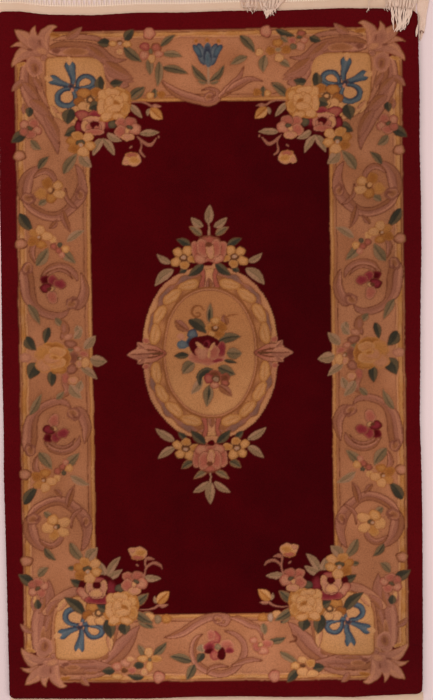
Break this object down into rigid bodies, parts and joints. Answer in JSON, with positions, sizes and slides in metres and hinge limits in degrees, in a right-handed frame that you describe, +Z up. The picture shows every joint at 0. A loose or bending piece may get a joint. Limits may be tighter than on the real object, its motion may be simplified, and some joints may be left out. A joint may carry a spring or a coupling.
{
  "type": "carved wool pile rug",
  "caption": "Rectangular hand-knotted wool pile rug with carved floral relief, lying flat, with a flat-woven web and knotted fringe at each end.",
  "frame": {"origin": "middle of the flat underside, on the surface that the rug lies on", "axes": "+X across the width, +Y along the length towards the end whose fringe is partly turned back, +Z up out of the pile"},
  "size_m": [0.9404, 1.6943, 0.0174],
  "materials": {
    "wool_pile": "dense cut wool pile in crimson, tan, rose and green, carved along the motifs, soft sheen",
    "cotton_fringe": "undyed twisted cotton, matt"
  },
  "bodies": {
    "root": {"pile_body": "wool_pile", "fringe_top": "cotton_fringe", "fringe_bottom": "cotton_fringe"}
  },
  "joints": []
}
